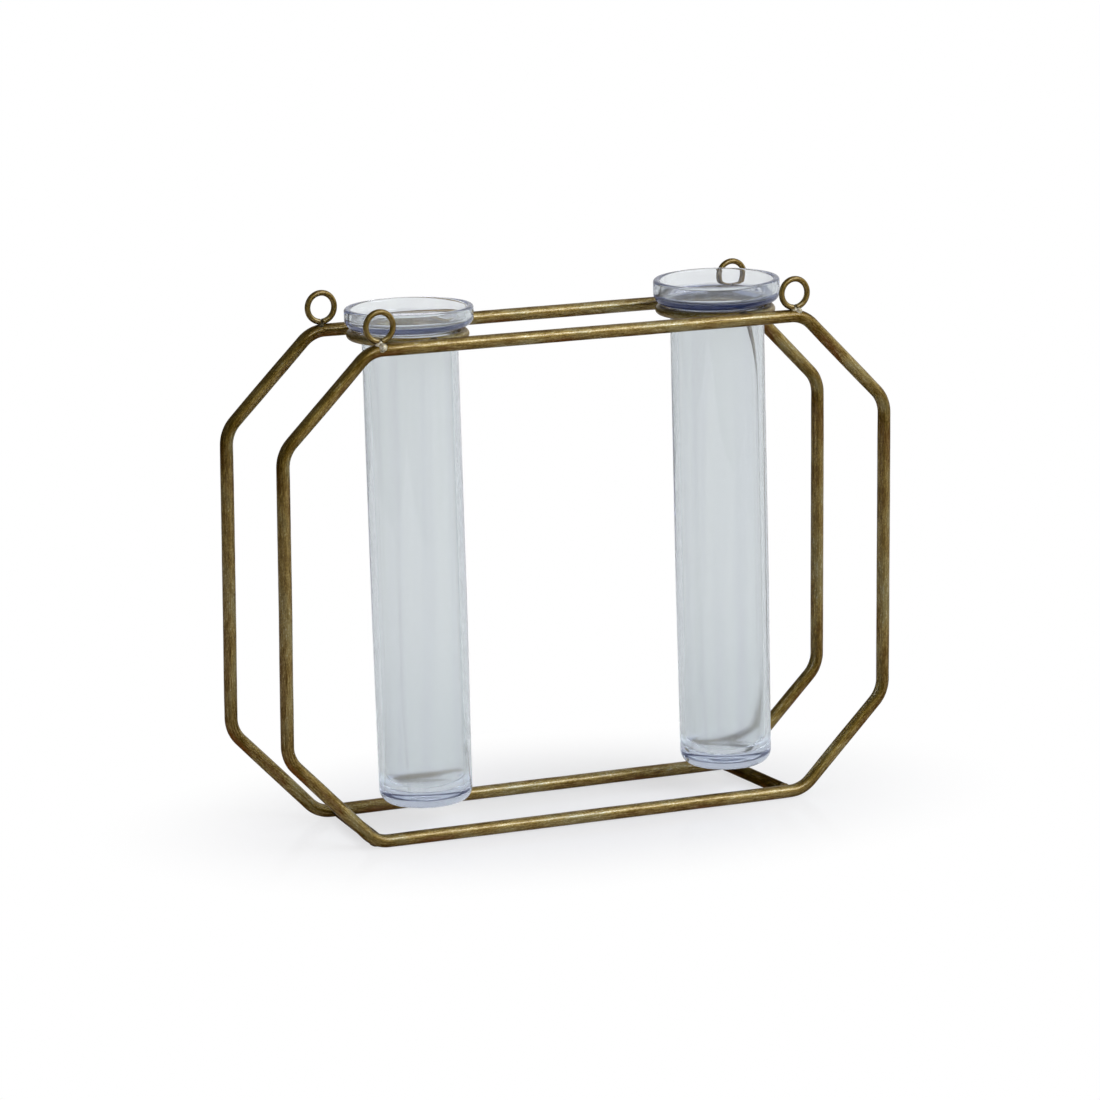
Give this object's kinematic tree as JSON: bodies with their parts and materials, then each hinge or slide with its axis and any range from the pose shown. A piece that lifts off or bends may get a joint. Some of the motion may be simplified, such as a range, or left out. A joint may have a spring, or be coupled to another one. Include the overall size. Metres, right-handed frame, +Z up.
{
  "type": "test tube vase",
  "caption": "Cut-corner wire frame of antique brass finish with hanging eyelets, carrying lipped clear glass test tubes in wire rings for flower stems.",
  "frame": {"origin": "on the floor, under the middle of the frame", "axes": "+X along the frame's width to the right, +Y from the front loop to the rear loop, +Z up"},
  "size_m": [0.203, 0.046, 0.1608],
  "materials": {
    "antique_brass": "aged brass plating, satin, darker at bends and undersides",
    "braze": "silvery braze, lumpy, half covered by the aged finish",
    "clear_glass": "clear drawn glass, polished, faint blue-grey tint"
  },
  "bodies": {
    "frame": {"front_loop": "antique_brass", "rear_loop": "antique_brass", "left_tube_ring": "antique_brass", "right_tube_ring": "antique_brass", "left_base_bar": "antique_brass", "right_base_bar": "antique_brass", "front_left_eyelet": "antique_brass", "front_right_eyelet": "antique_brass", "rear_left_eyelet": "antique_brass", "rear_right_eyelet": "antique_brass", "front_left_eyelet_braze": "braze", "front_right_eyelet_braze": "braze", "rear_left_eyelet_braze": "braze", "rear_right_eyelet_braze": "braze", "left_ring_front_weld": "antique_brass", "left_ring_rear_weld": "antique_brass", "right_ring_front_weld": "antique_brass", "right_ring_rear_weld": "antique_brass", "left_bar_front_weld": "antique_brass", "left_bar_rear_weld": "antique_brass", "right_bar_front_weld": "antique_brass", "right_bar_rear_weld": "antique_brass"},
    "left_tube": {"left_tube": "clear_glass"},
    "right_tube": {"right_tube": "clear_glass"}
  },
  "joints": [
    {"name": "left_tube_lift", "type": "slide", "parent": "frame", "child": "left_tube", "axis": [-0.0209, 0.014, 0.9997], "range_m": [0, 0.155]},
    {"name": "right_tube_lift", "type": "slide", "parent": "frame", "child": "right_tube", "axis": [-0.0262, -0.0079, 0.9996], "range_m": [0, 0.155]}
  ]
}
